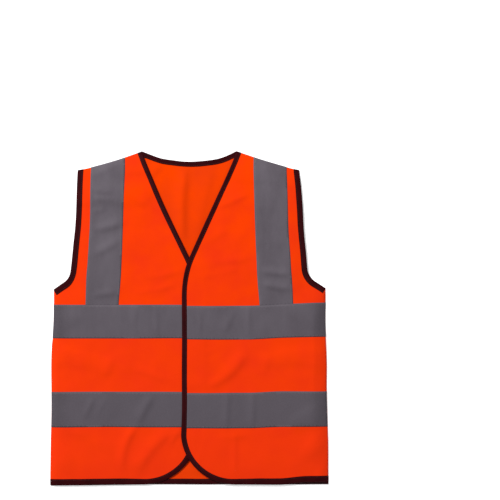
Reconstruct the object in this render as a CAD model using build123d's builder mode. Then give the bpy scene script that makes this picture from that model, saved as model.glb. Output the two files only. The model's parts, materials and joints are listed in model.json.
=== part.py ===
from build123d import *
import os
from functools import cache
from math import asin, degrees

# High visibility vest, laid flat on its back with its front up. Millimetres.
# +X is the wearer's left, +Y runs from the hem to the neck, +Z is up.
# A point in plan is (across from the centre line, up from the hem), given for the wearer's left.

# overall outline
HEIGHT = 521
HEM_END = (216.5, 0)
UNDERARM = (211.5, 304)
ARMPIT = (185.8, 321.5)  # where the armhole's two straight runs would meet
ARMPIT_RADIUS = 26
SHOULDER_TIP = (174, 490.5)
NECK_POINT = (74, HEIGHT)
BACK_NECK = 504  # height of the back neck at the centre

# front edges
LAP = 13  # how far each front passes the centre line
LAPEL = 327  # height where the neckline would meet the front edge
LAPEL_RADIUS = 164
FRONT_CORNER_RADIUS = 84

# the line that each front folds back on
FOLD_TOP = (20.6, 394)
FOLD_FOOT = (185, 0)
FOLD_GAP = 0.2

# reflective tape
TAPE_WIDTH = 52
UPPER_BAND = 230  # heights of the bands' lower edges
LOWER_BAND = 93
BRACE_TOP = (126, 520)
BRACE_FOOT = (136, UPPER_BAND + TAPE_WIDTH)

# bindings, seams, closure and thread
BINDING_WIDTH = 8
SEAM_WIDTH = 9
SEAM_INSET = 1  # from the outer edge to the allowance
CLOSURE_WIDTH = 16
CLOSURE_LENGTH = 117
CLOSURE_FOOT = 158
THREAD = 0.6
THREAD_INSET = 2

# thicknesses
CLOTH = 0.4
TAPE = 0.4
BINDING = 0.4
SEAM = 1.6
CLOSURE = 1.2
THREAD_RISE = 0.2

LEFT = 1
RIGHT = -1
NAME = {LEFT: "left", RIGHT: "right"}

# heights of the undersides of the back and of the two fronts
BACK = 0.4
FRONT = {LEFT: 8.8, RIGHT: 5.8}

# the fronts roll down to the back over this distance from their seams
ROLL = 30
ROLL_BEYOND = 1  # the curve runs on past the seam, where the outline cuts it

# larger than the vest, for cutting shapes
FAR = 1200
DEEP = 40

LAY = Plane((0, -HEIGHT / 2, 0))

os.makedirs("parts", exist_ok=True)


def finish(piece, label):
    """Name a finished piece and write it."""
    piece.part.label = label
    export_step(piece.part, f"parts/{label}.step")


# ---- lines of the pattern ----


def run(side, points, radii, beyond):
    """A line through corners that are rounded, with both ends drawn out straight by beyond."""
    ends = [Vector(*p) for p in points]
    ends[0] += (ends[0] - ends[1]).normalized() * beyond
    ends[-1] += (ends[-1] - ends[-2]).normalized() * beyond
    placed = [(side * p.X, p.Y) for p in ends]
    return FilletPolyline(*placed, radius=radii) if radii else Line(*placed)


def front_edge(side, beyond=0):
    """The bound edge of a front: neckline, front edge, round corner and hem."""
    points = [NECK_POINT, (-LAP, LAPEL), (-LAP, 0), HEM_END]
    return run(side, points, [LAPEL_RADIUS, FRONT_CORNER_RADIUS], beyond)


def armhole(side, beyond=0):
    """From the underarm up to the shoulder, so that the cloth lies on the same hand as a front edge's."""
    return run(side, [UNDERARM, ARMPIT, SHOULDER_TIP], [ARMPIT_RADIUS], beyond)


def side_seam(side, beyond=0):
    return run(side, [HEM_END, UNDERARM], [], beyond)


def shoulder_seam(side, beyond=0):
    return run(side, [SHOULDER_TIP, NECK_POINT], [], beyond)


def back_neck(side, beyond=0):
    """An arc between the neck points, which isn't drawn out."""
    across, up = NECK_POINT
    return ThreePointArc((side * across, up), (0, BACK_NECK), (-side * across, up))


def back_hem(side, beyond=0):
    return run(side, [(-HEM_END[0], 0), HEM_END], [], beyond)


# ---- areas in plan ----


@cache
def front_area(side):
    with BuildSketch() as area:
        with BuildLine():
            front_edge(side)
            side_seam(side)
            armhole(side)
            shoulder_seam(side)
        make_face()
    return area.sketch


@cache
def back_area():
    with BuildSketch() as area:
        with BuildLine():
            back_hem(LEFT)
            back_neck(LEFT)
            for side in (LEFT, RIGHT):
                side_seam(side)
                armhole(side)
                shoulder_seam(side)
        make_face()
    return area.sketch


@cache
def strip(line, side, width):
    """The strip inside a pattern line, running past both of its ends."""
    with BuildSketch() as band:
        with BuildLine():
            edge = line(side, beyond=BINDING_WIDTH)
            inside = Side.LEFT if side == LEFT else Side.RIGHT
            offset(edge, amount=width, side=inside, closed=True, mode=Mode.REPLACE)
        make_face()
    return band.sketch


def common(*areas):
    """Where all the areas lie over each other."""
    with BuildSketch() as shared:
        add(areas[0])
        for area in areas[1:]:
            add(area, mode=Mode.INTERSECT)
    return shared.sketch


def without(area, *others):
    with BuildSketch() as rest:
        add(area)
        for other in others:
            add(other, mode=Mode.SUBTRACT)
    return rest.sketch


def cloth_of(area):
    """A panel's cloth stops short of the outer face of its binding."""
    with BuildSketch() as cloth:
        add(area)
        offset(amount=-BINDING, kind=Kind.INTERSECTION)
    return cloth.sketch


def level(low, high):
    """Everything between two heights above the hem."""
    with BuildSketch() as area:
        with Locations((0, (low + high) / 2)):
            Rectangle(FAR, high - low)
    return area.sketch


@cache
def fold_area(side, inside):
    """Everything from a fold line towards the centre, or away from it."""
    head, foot = Vector(*FOLD_TOP), Vector(*FOLD_FOOT)
    reach = head - foot
    edge = [head + reach, foot - reach]
    if inside:
        corners = [(p.X, p.Y) for p in edge] + [(-FAR, edge[1].Y), (-FAR, edge[0].Y)]
    else:
        corners = [(p.X + FOLD_GAP, p.Y) for p in edge] + [(FAR, edge[1].Y), (FAR, edge[0].Y)]
    with BuildSketch() as area:
        with BuildLine():
            Polyline(*[(side * x, y) for x, y in corners], close=True)
        make_face()
    return area.sketch


def brace_area(side, inset=0):
    """A brace tape over the shoulder, or the part of it that is inset from its long edges."""
    half = TAPE_WIDTH / 2 - inset
    inner = [(x - half, y) for x, y in (BRACE_TOP, BRACE_FOOT)]
    outer = [(x + half, y) for x, y in (BRACE_FOOT, BRACE_TOP)]
    with BuildSketch() as area:
        with BuildLine():
            Polyline(*[(side * x, y) for x, y in inner + outer], close=True)
        make_face()
    return area.sketch


def front_bindings(side):
    return [strip(front_edge, side, BINDING_WIDTH), strip(armhole, side, BINDING_WIDTH)]


def back_bindings():
    armholes = [strip(armhole, side, BINDING_WIDTH) for side in (LEFT, RIGHT)]
    return armholes + [strip(back_neck, LEFT, BINDING_WIDTH), strip(back_hem, LEFT, BINDING_WIDTH)]


def front_tape(side, tape):
    """A tape on a front lies between the bindings."""
    return without(common(front_area(side), tape), *front_bindings(side))


def back_tape(tape):
    return without(common(back_area(), tape), *back_bindings())


# ---- shapes in space ----


def below_roll(side, seam, height):
    """The space under a front at a height, which rolls down to the back at one seam."""
    fall = FRONT[side] - BACK - CLOTH
    radius = (ROLL**2 + fall**2) / (2 * fall)
    with BuildLine(LAY) as placed:
        line = seam(side)
    inward = (line % 0).rotate(Axis.Z, 90 * side)
    with BuildPart() as space:
        with BuildSketch(Plane(line @ 0, x_dir=inward, z_dir=inward.cross(Vector(0, 0, 1)))):
            with BuildLine():
                crest = Line((FAR, height), (ROLL, height))
                turn = JernArc(crest @ 1, (-1, 0), radius, degrees(asin((ROLL + ROLL_BEYOND) / radius)))
                Polyline(turn @ 1, ((turn @ 1).X, -DEEP), (FAR, -DEEP), crest @ 0)
            make_face()
        extrude(amount=FAR, both=True)
    return space.part


@cache
def below(side, height):
    """The space under a front at a height, rolled down at its side and shoulder seams."""
    with BuildPart() as space:
        add(below_roll(side, side_seam, height))
        add(below_roll(side, shoulder_seam, height), mode=Mode.INTERSECT)
    return space.part


def lay_flat(area, low, high, mode=Mode.ADD):
    """Add a flat layer to the piece being made."""
    with BuildSketch(LAY.offset(low)) as layer:
        add(area)
    extrude(layer.sketch, amount=high - low, mode=mode)


def roll_down(side, area, low, high, mode=Mode.ADD):
    """Add a layer of a front to the piece being made, rolled down towards its seams."""
    with BuildPart() as layer:
        with BuildSketch(LAY.offset(-DEEP)):
            add(area)
        extrude(amount=2 * DEEP)
        add(below(side, high), mode=Mode.INTERSECT)
        add(below(side, low), mode=Mode.SUBTRACT)
    add(layer.part, mode=mode)


def panel_cloth(side, inside):
    """The cloth of a front's flap, or of the rest of that front."""
    return common(cloth_of(front_area(side)), fold_area(side, inside))


# ---- back ----

with BuildPart() as back_panel:
    lay_flat(cloth_of(back_area()), BACK, BACK + CLOTH)
finish(back_panel, "back_panel")

BANDS = {"upper": UPPER_BAND, "lower": LOWER_BAND}

for name, foot in BANDS.items():
    with BuildPart() as back_band:
        lay_flat(back_tape(level(foot, foot + TAPE_WIDTH)), BACK - TAPE, BACK)
    finish(back_band, f"back_{name}_band")

for side in (LEFT, RIGHT):
    with BuildPart() as back_brace:
        lay_flat(back_tape(brace_area(side)), BACK - TAPE, BACK)
    finish(back_brace, f"{NAME[side]}_back_brace")


# ---- fronts: the fixed part of each, beside its fold line ----

front_side = {}
for side in (LEFT, RIGHT):
    with BuildPart() as front_side[side]:
        roll_down(side, panel_cloth(side, inside=False), FRONT[side], FRONT[side] + CLOTH)
    finish(front_side[side], f"{NAME[side]}_front_side")

with BuildPart() as back_hem_binding:
    hem = common(back_area(), strip(back_hem, LEFT, BINDING_WIDTH))
    lay_flat(hem, BACK - BINDING, BACK + CLOTH + BINDING)
    for piece in (back_panel, *front_side.values()):
        add(piece.part, mode=Mode.SUBTRACT)
finish(back_hem_binding, "back_hem_binding")

for side in (LEFT, RIGHT):
    cloth_top = FRONT[side] + CLOTH
    fixed = fold_area(side, inside=False)

    for name, foot in BANDS.items():
        with BuildPart() as band_side:
            tape = front_tape(side, level(foot, foot + TAPE_WIDTH))
            roll_down(side, common(tape, fixed), cloth_top, cloth_top + TAPE)
        finish(band_side, f"{NAME[side]}_{name}_band_side")

    with BuildPart() as front_brace:
        roll_down(side, front_tape(side, brace_area(side)), cloth_top, cloth_top + TAPE)
    finish(front_brace, f"{NAME[side]}_front_brace")

    with BuildPart() as hem_binding_side:
        hem = common(front_area(side), strip(front_edge, side, BINDING_WIDTH), fixed, level(0, LOWER_BAND))
        roll_down(side, hem, FRONT[side] - BINDING, cloth_top + BINDING)
        for piece in (front_side[side], back_panel, back_hem_binding):
            add(piece.part, mode=Mode.SUBTRACT)
    finish(hem_binding_side, f"{NAME[side]}_hem_binding_side")

# ---- bindings that join a front to the back ----

with BuildPart() as neck_binding:
    neck = common(back_area(), strip(back_neck, LEFT, BINDING_WIDTH))
    lay_flat(neck, BACK - BINDING, BACK + CLOTH + BINDING)
    for side in (LEFT, RIGHT):
        neckline = strip(front_edge, side, BINDING_WIDTH)
        neckline = common(front_area(side), neckline, fold_area(side, inside=False), level(LAPEL, FAR))
        roll_down(side, neckline, FRONT[side] - BINDING, FRONT[side] + CLOTH + BINDING)
    for cloth in (back_panel, front_side[LEFT], front_side[RIGHT]):
        add(cloth.part, mode=Mode.SUBTRACT)
finish(neck_binding, "neck_binding")

for side in (LEFT, RIGHT):
    edge = strip(armhole, side, BINDING_WIDTH)
    with BuildPart() as armhole_binding:
        lay_flat(common(back_area(), edge), BACK - BINDING, BACK + CLOTH + BINDING)
        roll_down(side, common(front_area(side), edge), FRONT[side] - BINDING, FRONT[side] + CLOTH + BINDING)
        add(back_panel.part, mode=Mode.SUBTRACT)
        add(front_side[side].part, mode=Mode.SUBTRACT)
    finish(armhole_binding, f"{NAME[side]}_armhole_binding")

# ---- seam allowances, overlocked and turned to the inside ----

for side in (LEFT, RIGHT):
    for name, seam in {"side": side_seam, "shoulder": shoulder_seam}.items():
        allowance = without(strip(seam, side, SEAM_WIDTH), strip(seam, side, SEAM_INSET))
        allowance = without(common(front_area(side), allowance), *front_bindings(side), *back_bindings())
        with BuildPart() as seam_allowance:
            lay_flat(allowance, BACK + CLOTH, BACK + CLOTH + SEAM)
            add(below(side, FRONT[side]), mode=Mode.INTERSECT)
        finish(seam_allowance, f"{NAME[side]}_{name}_seam")

# ---- fronts: the flap of each, which folds back ----

closure_area = {}
for side in (LEFT, RIGHT):
    with BuildSketch() as closure_area[side]:
        across = side * (-LAP + BINDING_WIDTH + CLOSURE_WIDTH / 2)
        with Locations((across, CLOSURE_FOOT + CLOSURE_LENGTH / 2)):
            Rectangle(CLOSURE_WIDTH, CLOSURE_LENGTH)

band_flap = {}
for side in (LEFT, RIGHT):
    cloth_top = FRONT[side] + CLOTH
    turning = fold_area(side, inside=True)

    with BuildPart() as front_flap:
        lay_flat(panel_cloth(side, inside=True), FRONT[side], cloth_top)
    finish(front_flap, f"{NAME[side]}_front_flap")

    for name, foot in BANDS.items():
        with BuildPart() as band_flap[side, name]:
            tape = front_tape(side, level(foot, foot + TAPE_WIDTH))
            lay_flat(common(tape, turning), cloth_top, cloth_top + TAPE)
        finish(band_flap[side, name], f"{NAME[side]}_{name}_band_flap")

    with BuildPart() as edge_binding:
        edge = common(front_area(side), strip(front_edge, side, BINDING_WIDTH), turning)
        lay_flat(edge, FRONT[side] - BINDING, cloth_top + BINDING)
        add(front_flap.part, mode=Mode.SUBTRACT)
    finish(edge_binding, f"{NAME[side]}_edge_binding")

with BuildPart() as hook_strip:
    lay_flat(closure_area[LEFT].sketch, FRONT[LEFT] - CLOSURE, FRONT[LEFT])
finish(hook_strip, "hook_strip")

with BuildPart() as loop_strip:
    lay_flat(closure_area[RIGHT].sketch, FRONT[RIGHT] + CLOTH, FRONT[RIGHT] + CLOTH + CLOSURE)
    add(band_flap[RIGHT, "upper"].part, mode=Mode.SUBTRACT)
finish(loop_strip, "loop_strip")

# ---- thread ----


def row(line, side, distance):
    """A row of thread along a pattern line."""
    return without(strip(line, side, distance + THREAD / 2), strip(line, side, distance - THREAD / 2))


def tape_rows(side):
    """The rows of thread along both edges of the bands and of one brace."""
    rows = []
    for foot in BANDS.values():
        for centre in (foot + THREAD_INSET, foot + TAPE_WIDTH - THREAD_INSET):
            rows.append(level(centre - THREAD / 2, centre + THREAD / 2))
    inner, outer = THREAD_INSET + THREAD / 2, THREAD_INSET - THREAD / 2
    rows.append(without(brace_area(side, outer), brace_area(side, inner)))
    return rows


for side in (LEFT, RIGHT):
    top = FRONT[side] + CLOTH + TAPE
    tape_threads = [front_tape(side, area) for area in tape_rows(side)]
    edge_row = row(front_edge, side, BINDING_WIDTH - THREAD_INSET)
    arm_row = row(armhole, side, BINDING_WIDTH - THREAD_INSET)
    edge_threads = [common(front_area(side), area) for area in (edge_row, arm_row)]

    with BuildPart() as side_thread:
        for area in tape_threads + edge_threads:
            roll_down(side, common(area, fold_area(side, inside=False)), top, top + THREAD_RISE)
    finish(side_thread, f"{NAME[side]}_side_thread")

    with BuildPart() as flap_thread:
        for area in tape_threads[:-1] + edge_threads[:1]:
            if side == RIGHT:
                area = without(area, closure_area[RIGHT].sketch)
            lay_flat(common(area, fold_area(side, inside=True)), top, top + THREAD_RISE)
    finish(flap_thread, f"{NAME[side]}_flap_thread")
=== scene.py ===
import json
import math

import bpy
import numpy as np
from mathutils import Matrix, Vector, geometry
from mathutils.bvhtree import BVHTree


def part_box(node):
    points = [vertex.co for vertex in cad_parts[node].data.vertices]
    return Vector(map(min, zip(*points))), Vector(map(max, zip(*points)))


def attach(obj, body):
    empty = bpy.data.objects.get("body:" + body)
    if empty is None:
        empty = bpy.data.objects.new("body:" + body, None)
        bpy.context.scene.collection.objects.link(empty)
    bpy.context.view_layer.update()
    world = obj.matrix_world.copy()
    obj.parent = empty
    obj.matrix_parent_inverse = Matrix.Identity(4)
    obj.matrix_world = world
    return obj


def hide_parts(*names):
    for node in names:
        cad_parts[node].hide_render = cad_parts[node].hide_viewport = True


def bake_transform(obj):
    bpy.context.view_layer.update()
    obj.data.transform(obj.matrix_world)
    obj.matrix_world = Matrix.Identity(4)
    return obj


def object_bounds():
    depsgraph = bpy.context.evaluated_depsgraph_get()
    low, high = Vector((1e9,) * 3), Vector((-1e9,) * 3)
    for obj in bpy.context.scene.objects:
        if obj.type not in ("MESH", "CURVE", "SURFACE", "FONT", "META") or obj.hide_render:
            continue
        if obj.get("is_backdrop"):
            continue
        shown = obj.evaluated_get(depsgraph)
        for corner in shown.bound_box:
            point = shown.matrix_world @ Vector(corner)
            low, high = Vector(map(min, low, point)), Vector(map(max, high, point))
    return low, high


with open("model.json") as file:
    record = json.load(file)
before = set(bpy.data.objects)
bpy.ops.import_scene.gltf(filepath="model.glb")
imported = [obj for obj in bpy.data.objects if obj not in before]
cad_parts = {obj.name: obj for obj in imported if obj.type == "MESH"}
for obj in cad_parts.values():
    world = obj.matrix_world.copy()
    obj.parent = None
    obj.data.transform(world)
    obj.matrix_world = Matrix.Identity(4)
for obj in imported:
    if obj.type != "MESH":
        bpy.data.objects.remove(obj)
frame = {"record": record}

# A high visibility vest, laid flat on its back. Plan points are millimetres across from the centre
# line and up from the hem, given for the wearer's left. Meshes are in metres, in the shared frame.

MM = 0.001
LEFT, RIGHT = 1, -1
NAME = {LEFT: "left", RIGHT: "right"}
FLAP = {LEFT: "left_flap", RIGHT: "right_flap"}
FOLD = {LEFT: "left_front_fold", RIGHT: "right_front_fold"}
BODY = "vest_body"

CAD_LOW, CAD_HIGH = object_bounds()
HEM = CAD_LOW[1]
HEIGHT = (CAD_HIGH[1] - CAD_LOW[1]) / MM

# ---- the pattern, as in the CAD ----

HEM_END = (CAD_HIGH[0] / MM, 0)
UNDERARM = (211.5, 304)
ARMPIT, ARMPIT_RADIUS = (185.8, 321.5), 26
SHOULDER_TIP = (174, 490.5)
NECK_POINT = (74, HEIGHT)
BACK_NECK = 504
LAP, LAPEL, LAPEL_RADIUS = 13, 327, 164
FRONT_CORNER_RADIUS = 84
TAPE_LOW, TAPE_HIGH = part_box("back_upper_band")
TAPE_WIDTH = (TAPE_HIGH.y - TAPE_LOW.y) / MM
BINDING_WIDTH = 8
CLOSURE_WIDTH, CLOSURE_FOOT, CLOSURE_TOP = 16, 158, 275
BANDS = {n: (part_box(f"back_{n}_band")[0].y - HEM) / MM for n in ("upper", "lower")}
BRACE_TOP, BRACE_FOOT = (126, 520), (136, BANDS["upper"] + TAPE_WIDTH)

# ---- how the cloth lies, in millimetres ----

CLOTH = 0.5
TAPE = 0.28
BACK_HEIGHT, BACK_WAVE = 0.95, 0.35
FRONT_HEIGHT = {LEFT: 6.3, RIGHT: 4.9}
SEAM_HEIGHT = BACK_HEIGHT + CLOTH
SIDE_ROLL, SHOULDER_ROLL, ROUNDNESS = 26, 80, 2.4  # how a front rises from its seams
EDGE_DIP, LEAST_HEIGHT = 1.5, 3.5  # how far a front sinks at its edges, and the lowest it gets
CALM, CALM_REACH = 0.7, 14  # how much flatter a front lies beside its fold line
STACK, SOFTNESS = 1.1, 0.25  # room for bindings where the fronts lap, and how softly one rests there
FINE = 1.5  # spacing of points where a front folds
FINE_REACH = 10.0
COARSE = 3.0
RIM_GAP = 0.6  # points keep this share of their spacing from an outline
CELL = 2.0  # spacing of the height maps
MAP_LOW, MAP_HIGH = (-240.0, -20.0), (241.0, 545.0)
MAP_X, MAP_Y = np.meshgrid(*[np.arange(a, b, CELL) for a, b in zip(MAP_LOW, MAP_HIGH)], indexing="ij")


def smooth(value, low, high):
    """A smooth step from 0 at low to 1 at high, which may be the smaller of the two."""
    t = np.clip((value - low) / (high - low), 0, 1)
    return t * t * (3 - 2 * t)


def hump(value, centre, reach):
    return np.exp(-(((value - centre) / reach) ** 2))


def unit(v):
    return v / np.linalg.norm(v)


def noise(x, y, size, seed):
    """Soft gradient noise from about -1 to 1, with features of a size."""
    n = 64
    angle = np.random.default_rng(seed).uniform(0, 2 * math.pi, (n, n))
    x, y = x / size + n / 2, y / size + n / 4
    i, j = np.floor(x).astype(int), np.floor(y).astype(int)
    u, v = x - i, y - j

    def corner(di, dj):
        a = angle[(i + di) % n, (j + dj) % n]
        return np.cos(a) * (u - di) + np.sin(a) * (v - dj)

    fu, fv = u * u * u * (u * (6 * u - 15) + 10), v * v * v * (v * (6 * v - 15) + 10)
    low = corner(0, 0) * (1 - fu) + corner(1, 0) * fu
    high = corner(0, 1) * (1 - fu) + corner(1, 1) * fu
    return 1.5 * (low * (1 - fv) + high * fv)


def waves(side, x, y, layers, base=0.0):
    """Noise for a front, in layers of a height, a size and a seed."""
    return sum((rise * noise(x, y, size, seed + side) for rise, size, seed in layers), base)


def sampled(field, x, y):
    """A map's value at points, as a smooth cubic B-spline."""
    u = np.clip((x - MAP_LOW[0]) / CELL, 1, field.shape[0] - 3.001)
    v = np.clip((y - MAP_LOW[1]) / CELL, 1, field.shape[1] - 3.001)
    i, j = np.floor(u).astype(int), np.floor(v).astype(int)
    total = 0
    for a, wa in enumerate(spline_weights(u - i)):
        for b, wb in enumerate(spline_weights(v - j)):
            total = total + wa * wb * field[i - 1 + a, j - 1 + b]
    return total


def spline_weights(t):
    return ((1 - t) ** 3 / 6, (3 * t**3 - 6 * t**2 + 4) / 6, (1 + 3 * t + 3 * t**2 - 3 * t**3) / 6, t**3 / 6)


def inward_of(start, end, x, y):
    """Distance to the left of a line from start to end."""
    d = unit(np.subtract(end, start))
    return d[0] * (y - start[1]) - d[1] * (x - start[0])


CREASE_RISE = 1.55
CREASE_FADE = 0.3  # the share of a crease's length over which it fades
CREASE_END = 0.15  # the share of its rise that is left at its ends
STEEPNESS, CURVE_POINTS = 3, 7


def crease(x, y, points, width, rise):
    """A soft fold along a bent line that fades at its ends, steep on its right and gentle on its left."""
    pts = np.array(points, float)
    if len(pts) == 3:
        t = np.linspace(0, 1, CURVE_POINTS)[:, None]
        middle = 2 * pts[1] - (pts[0] + pts[2]) / 2
        pts = (1 - t) ** 2 * pts[0] + 2 * t * (1 - t) * middle + t * t * pts[2]
    parts = np.hypot(*np.diff(pts, axis=0).T)
    start, total = np.concatenate([[0], np.cumsum(parts)]), parts.sum()
    nearest = np.full(np.shape(x), 1e9)
    across, along = np.zeros(np.shape(x)), np.zeros(np.shape(x))
    for a, b, length, s in zip(pts, pts[1:], parts, start):
        d = (b - a) / length
        t = np.clip(d[0] * (x - a[0]) + d[1] * (y - a[1]), 0, length)
        distance = np.hypot(x - a[0] - t * d[0], y - a[1] - t * d[1])
        closer = distance < nearest
        nearest = np.where(closer, distance, nearest)
        hand = np.sign(d[0] * (y - a[1]) - d[1] * (x - a[0]))
        across = np.where(closer, hand * distance, across)
        along = np.where(closer, (s + t) / total, along)
    fade = smooth(along, 0, CREASE_FADE) * smooth(1 - along, 0, CREASE_FADE)
    t = across / width
    shape = np.where(t < 0, np.exp(-STEEPNESS * t * t), np.exp(-t * t))
    return rise * (CREASE_END + (1 - CREASE_END) * fade) * shape


# each crease: the points of its crest with its steep side on the right, its width, and its rise as a
# multiple of CREASE_RISE
CREASES = {
    RIGHT: [
        ((-152, 486), (-106, 505), 8, 2.0),
        ((-153, 460), (-116, 455), 6, 0.7),
        ((-155, 447), (-115, 444), 6, 0.8),
        ((-153, 426), (-132, 429), 5, 0.6),
        ((-152, 398), (-130, 401), (-104, 410), 8, 1.1),
        ((-153, 359), (-134, 367), (-110, 382), 8, 0.8),
        ((-150, 296), (-112, 301), 6, 0.75),
        ((-108, 457), (-84, 447), (-58, 432), 7, 0.5),
        ((-70, 321), (-12, 333), 6, 0.5),
        ((-80, 300), (-46, 306), (-14, 315), 6, 0.5),
        ((-84, 226), (-83, 286), 6, 0.8),
        ((-51, 228), (-50, 286), 5, 0.55),
        ((-94, 184), (-60, 173), (-26, 158), 9, 0.4),
        ((-132, 168), (-118, 205), 10, 0.4),
        ((-80, 96), (-70, 118), (-55, 142), 8, 1.0),
        ((-163, 106), (-148, 136), 5, 0.8),
        ((-144, 106), (-127, 138), 5, 0.75),
        ((-104, 18), (-99, 62), (-78, 100), 8, 0.9),
        ((-84, 12), (-60, 56), (-14, 92), 13, 1.05),
        ((-32, 60), (-14, 90), 6, 0.6),
        ((-206, 88), (-204, 290), 4, 0.4),
    ],
    LEFT: [
        ((112, 500), (152, 486), 7, 1.3),
        ((110, 334), (160, 327), 6, 1.05),
        ((112, 315), (160, 303), 6, 1.15),
        ((38, 432), (64, 441), (98, 456), 6, 0.5),
        ((14, 372), (64, 400), 9, 0.45),
        ((18, 343), (104, 354), 8, 0.5),
        ((2, 322), (84, 338), 7, 0.45),
        ((17, 224), (17, 288), 6, 0.85),
        ((93, 226), (93, 288), 5, 0.75),
        ((52, 236), (73, 280), 8, 0.85),
        ((10, 155), (56, 170), (96, 226), 14, 1.15),
        ((2, 206), (40, 212), 5, 0.45),
        ((110, 164), (124, 206), 12, 0.5),
        ((58, 88), (60, 150), 6, 0.8),
        ((99, 88), (99, 150), 6, 0.65),
        ((71, 10), (71, 92), 6, 0.5),
        ((36, 74), (100, 81), 9, 0.4),
        ((195, 88), (194, 290), 3.5, 0.3),
    ],
    "back": [
        ((-8, 370), (-11, 430), (-6, 502), 11, 2.0),
        ((10, 385), (22, 440), (36, 505), 13, 0.6),
        ((-62, 480), (-44, 500), 8, 0.5),
        ((-60, 20), (60, 26), 12, 0.5),
    ],
}


def creases(layer, x, y):
    return CREASE_RISE * sum(crease(x, y, line, width, rise) for *line, width, rise in CREASES[layer])


# Where the cloth isn't square. Each pull says which way, how many millimetres, and over what: steps and
# humps of the place across, the place up, or the distance off the centre line.
ACROSS, UP, OFF = 0, 1, 2
LEFT_SEAM, RIGHT_SEAM = (ACROSS, smooth, 170, 214), (ACROSS, smooth, -170, -214)
LEFT_ARM, RIGHT_ARM = (ACROSS, smooth, 140, 172), (ACROSS, smooth, -140, -172)
SHOULDERS, HEM_STRIP = (UP, smooth, 440, 485), (UP, smooth, 45, 0)
LOWER_BAND = ((UP, smooth, 66, 90), (UP, smooth, 190, 154))
CLOSED = ((UP, smooth, 60, 100), (UP, smooth, 345, 300))


def pulls(way, where, *humps):
    """Pulls over one stretch, each a distance, a place up and a reach."""
    return [(way, far, where, (UP, hump, y, reach)) for far, y, reach in humps]


PULLS = {
    "all": [
        *pulls(OFF, (OFF, smooth, 140, 172), (-2.2, 435, 66)),
        *pulls(OFF, (OFF, smooth, 170, 214), (1.7, 195, 40)),
        *pulls(OFF, (OFF, hump, 125, 35), (-1.9, 385, 70)),
        *pulls(ACROSS, LEFT_SEAM, (1.3, 292, 28), (-0.5, 205, 28), (1.2, 66, 66)),
        *pulls(ACROSS, RIGHT_SEAM, (0.7, 262, 26), (0.6, 113, 30), (0.6, 0, 12)),
        (ACROSS, -0.7, RIGHT_SEAM, (UP, smooth, 232, 218)),
        *pulls(ACROSS, LEFT_ARM, (1.1, 438, 34), (-1.4, 490, 14), (-0.6, 338, 14)),
        *pulls(ACROSS, RIGHT_ARM, (0.6, 400, 22), (-1.1, 470, 36), (-0.6, 324, 14)),
        *pulls(ACROSS, (ACROSS, hump, 150, 14), (-1.3, 420, 60)),
        (OFF, -1.6, (OFF, hump, 101, 16), (UP, smooth, 280, 330), (UP, smooth, HEIGHT, HEIGHT - 30)),
        (UP, 2.4, (ACROSS, smooth, 120, 205), (UP, smooth, 160, 300), (UP, smooth, 420, 310)),
        (UP, 3.4, (UP, smooth, 84, 152), *LOWER_BAND),
        (UP, -1.7, *LOWER_BAND),
        (UP, -1.5, (OFF, hump, 120, 42), SHOULDERS),
        (UP, -0.8, (ACROSS, hump, -124, 40), SHOULDERS),
        (UP, 1.1, (OFF, hump, 174, 12), (UP, smooth, 470, 488)),
        *pulls(UP, (ACROSS, smooth, 182, 200), (0.3, 314, 16)),
        *pulls(UP, (ACROSS, smooth, -182, -200), (1.2, 314, 16)),
        (UP, 1.3, (ACROSS, smooth, -170, -60), HEM_STRIP),
        (UP, -0.2, HEM_STRIP),
    ],
    LEFT: [
        (ACROSS, 2.1, (ACROSS, smooth, 30, -30), (UP, smooth, 60, 140), (UP, smooth, 345, 285)),
        (ACROSS, 1.3, (ACROSS, hump, 45, 55), (UP, hump, 440, 100), (UP, smooth, HEIGHT, HEIGHT - 20)),
        (UP, -2.4, (ACROSS, smooth, 150, 90), *CLOSED),
        (UP, 3.6, (ACROSS, smooth, 140, 185), (UP, smooth, 60, 10)),
    ],
    RIGHT: [
        (ACROSS, -3.1, (ACROSS, hump, -50, 55), (UP, hump, 430, 90), (UP, smooth, HEIGHT, HEIGHT - 22)),
        (UP, -0.9, *CLOSED),
    ],
    "back": [(UP, far, (ACROSS, hump, x, reach), (UP, smooth, 480, 500)) for far, x, reach in (
        (0.6, -64, 12), (-0.3, -44, 10), (0.5, -24, 12), (0.5, 12, 22), (-0.8, 48, 14), (0.5, 72, 8))],
}
WANDER = 0.5


def warp(layer, x, y):
    """Where a plan point lies once the vest is put down: the cloth is never quite square."""
    at = (x, y, np.abs(x))
    drawn = [WANDER * noise(x, y, 75, 11), WANDER * noise(x, y, 85, 21), 0]
    for way, far, *stretches in PULLS["all"] + PULLS[layer]:
        shares = [shape(at[axis], a, b) for axis, shape, a, b in stretches]
        drawn[way] = drawn[way] + far * math.prod(shares)
    return x + drawn[ACROSS] + np.sign(x) * drawn[OFF], y + drawn[UP]


def fold_distance(side, x, y):
    """Distance from the line that a front folds back on."""
    origin, line, _, _ = fold_frame(side)
    return np.abs(line[0] * (y - origin[1]) - line[1] * (x - origin[0]))


RIPPLES = ((0.5, 46, 31), (0.25, 23, 41))
HEM_DIP, ARM_DIP, NECK_DIP = 20, 14, 16
ARM_DIP_FROM = (SHOULDER_TIP[0] + 6, 310)


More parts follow.
